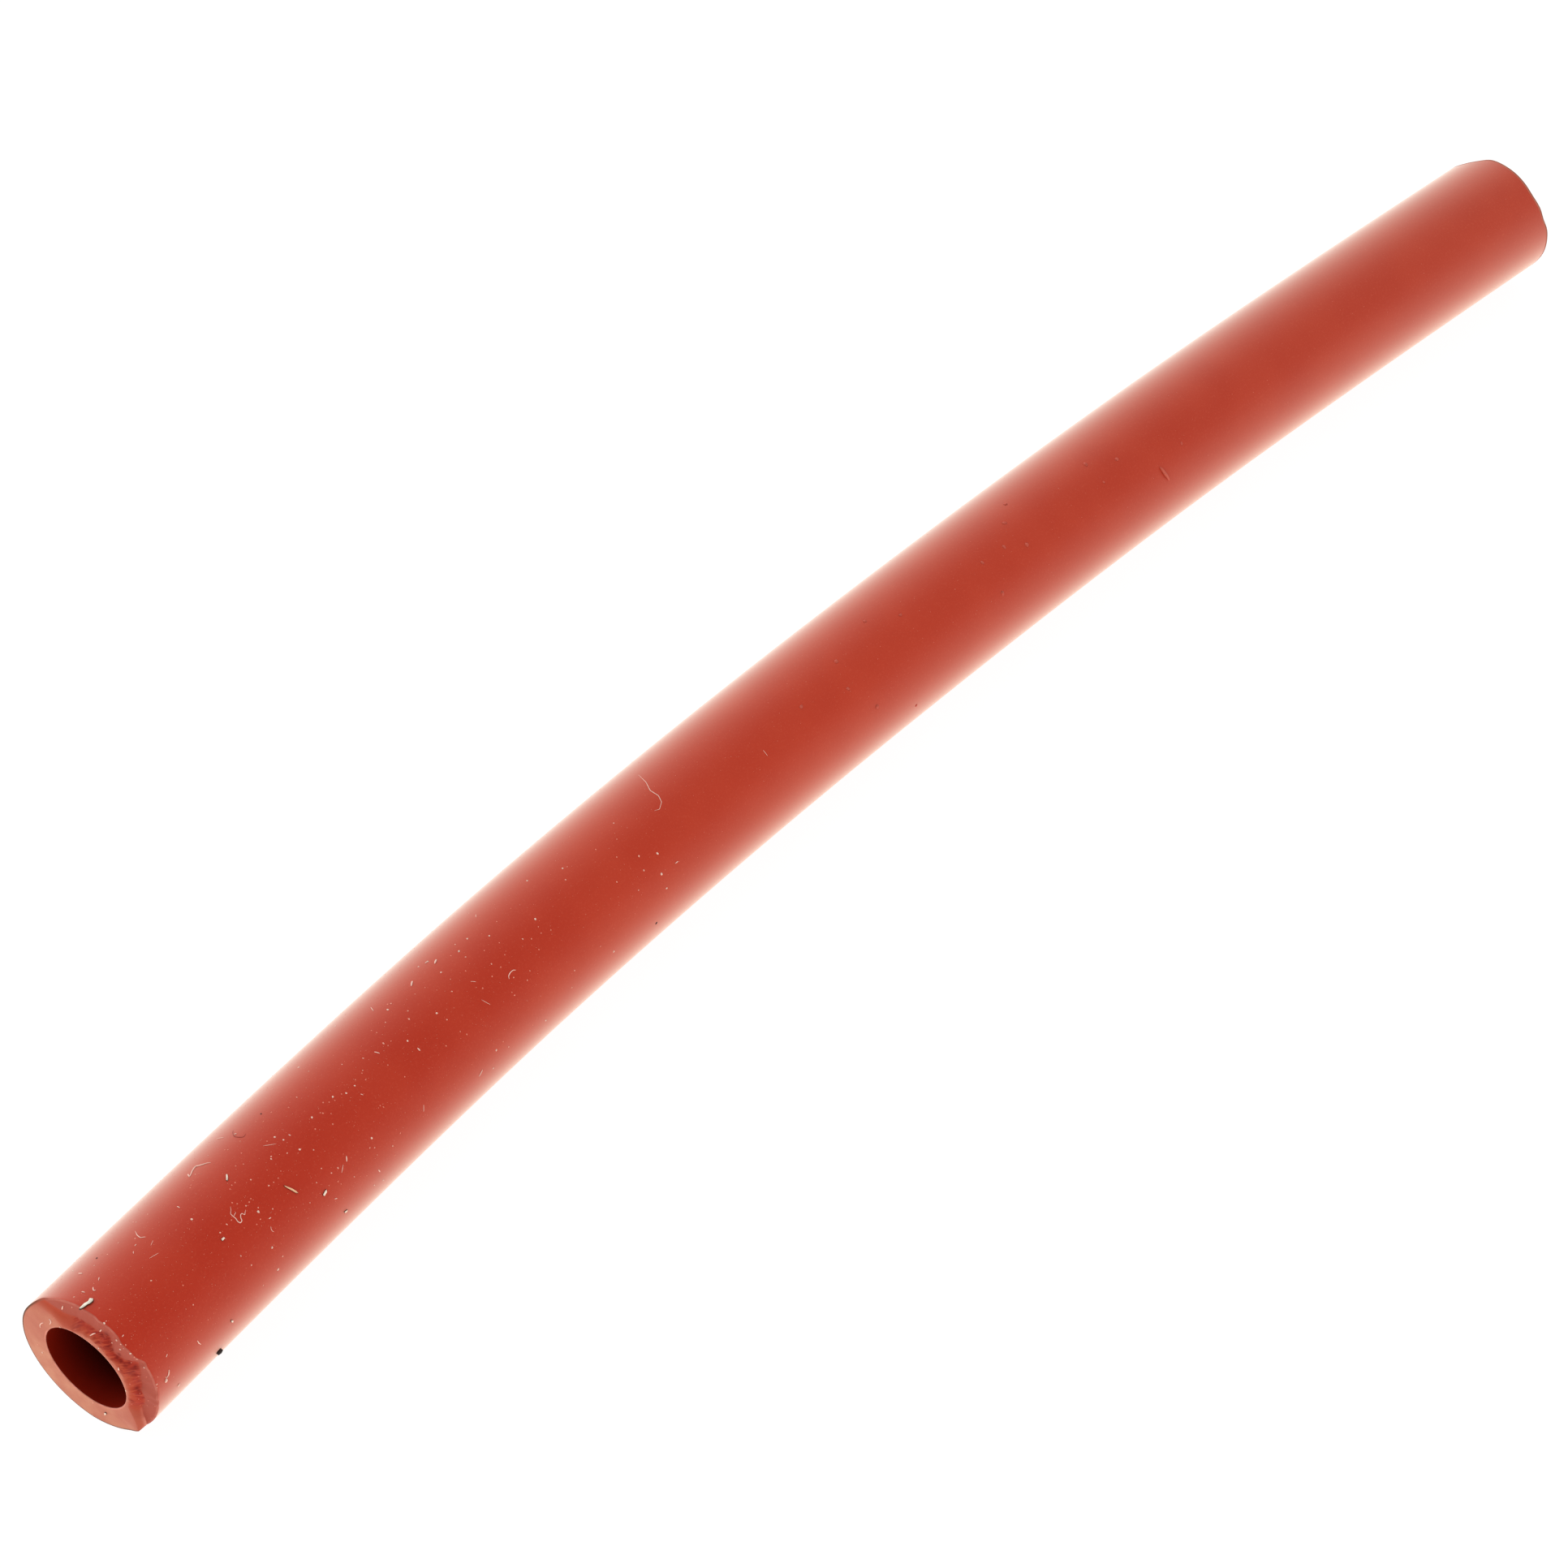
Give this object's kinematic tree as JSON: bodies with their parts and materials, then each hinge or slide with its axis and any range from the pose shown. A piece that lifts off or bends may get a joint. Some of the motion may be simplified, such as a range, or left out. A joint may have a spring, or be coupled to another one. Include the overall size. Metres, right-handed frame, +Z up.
{
  "type": "rubber vacuum tubing",
  "caption": "Short bent length of thick-walled red rubber vacuum tubing, cut off by hand at both ends, to push over nozzles and barbs.",
  "frame": {"origin": "on the bench under the middle of the tube's box", "axes": "+X along the tube from the nearer cut end to the farther one, +Z up"},
  "size_m": [0.1215, 0.0112, 0.008],
  "materials": {
    "red_rubber": "satin moulded red rubber with fine dust and specks"
  },
  "bodies": {
    "root": {"vacuum_tube": "red_rubber"}
  },
  "joints": []
}
